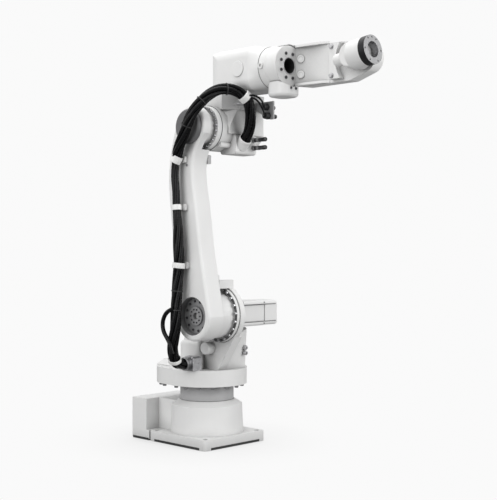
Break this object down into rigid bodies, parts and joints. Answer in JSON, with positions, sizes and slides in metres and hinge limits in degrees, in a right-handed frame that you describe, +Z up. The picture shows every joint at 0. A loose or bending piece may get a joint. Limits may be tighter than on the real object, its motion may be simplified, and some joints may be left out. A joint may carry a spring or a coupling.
{
  "type": "industrial robot arm",
  "caption": "Floor-mounted jointed industrial robot arm with a bowed lower arm, round forearm, one-sided wrist, hollow tool flange and outside cable bundle.",
  "frame": {"origin": "on the floor under the base plate, on axis 1, at the plate's centre", "axes": "+X to the front, along the forearm; +Y to the motor side; +Z up along axis 1"},
  "size_m": [1.216, 0.53, 1.636],
  "materials": {
    "black_plastic": "moulded",
    "black_rubber": "matt",
    "cable_sheath": "smooth matt",
    "dark_cover": "semi-matt",
    "grey_paint": "satin",
    "steel": "machined",
    "white_paint": "satin"
  },
  "bodies": {
    "base": {"base_plate": "white_paint", "pedestal": "white_paint", "connector_box": "white_paint", "power_socket": "black_plastic", "signal_socket": "black_plastic", "axis1_reducer": "grey_paint"},
    "turret": {"turntable": "white_paint", "turret_column": "white_paint", "axis2_ring": "white_paint", "axis2_motor": "white_paint", "axis2_motor_cap": "white_paint", "axis1_motor_cover": "white_paint", "arm_stop_block": "white_paint", "gland_block": "grey_paint", "stop_bracket": "white_paint", "stop_rubber": "black_rubber"},
    "lower_arm": {"lower_arm": "white_paint", "axis2_hub_plate": "steel", "axis3_cover": "dark_cover", "cable_lower_loop": "cable_sheath", "cable_arm_run": "cable_sheath", "arm_clamp_low": "white_paint", "arm_clamp_mid": "white_paint", "arm_clamp_top": "white_paint", "arm_stop_tab": "grey_paint"},
    "elbow": {"axis3_ring": "white_paint", "elbow_housing": "white_paint", "axis3_motor": "white_paint", "forearm_barrel": "white_paint", "cable_upper_loop": "cable_sheath", "cable_elbow_run": "cable_sheath", "elbow_clamp": "steel", "elbow_fittings": "steel", "connector_plate": "grey_paint", "connectors": "black_plastic", "connector_leads": "cable_sheath", "barrel_cap": "white_paint"},
    "wrist_roll": {"roll_housing": "white_paint", "roll_belly": "white_paint", "wrist_arm": "white_paint", "axis5_block": "white_paint"},
    "wrist_bend": {"bend_housing": "white_paint", "wrist_drive": "white_paint"},
    "tool": {"tool_flange": "steel"}
  },
  "joints": [
    {"name": "axis1_turn", "type": "hinge", "parent": "base", "child": "turret", "pos_m": [0, 0, 0.249], "axis": [0, 0, 1], "range_deg": [-170, 170]},
    {"name": "axis2_lower_arm", "type": "hinge", "parent": "turret", "child": "lower_arm", "pos_m": [0.15, 0, 0.55], "axis": [0, 1, 0], "range_deg": [-90, 120], "deforming": ["cable_lower_loop"]},
    {"name": "axis3_elbow", "type": "hinge", "parent": "lower_arm", "child": "elbow", "pos_m": [0.137, 0, 1.315], "axis": [0, -1, 0], "range_deg": [-65, 150], "deforming": ["cable_upper_loop"]},
    {"name": "axis4_wrist_roll", "type": "hinge", "parent": "elbow", "child": "wrist_roll", "pos_m": [0.386, 0, 1.546], "axis": [1, 0, 0], "range_deg": [-190, 190]},
    {"name": "axis5_wrist_bend", "type": "hinge", "parent": "wrist_roll", "child": "wrist_bend", "pos_m": [0.8, 0, 1.546], "axis": [0, 1, 0], "range_deg": [-120, 120]},
    {"name": "axis6_tool", "type": "hinge", "parent": "wrist_bend", "child": "tool", "pos_m": [0.8, 0, 1.546], "axis": [0.9925, 0, 0.1219], "range_deg": [-360, 360]}
  ]
}
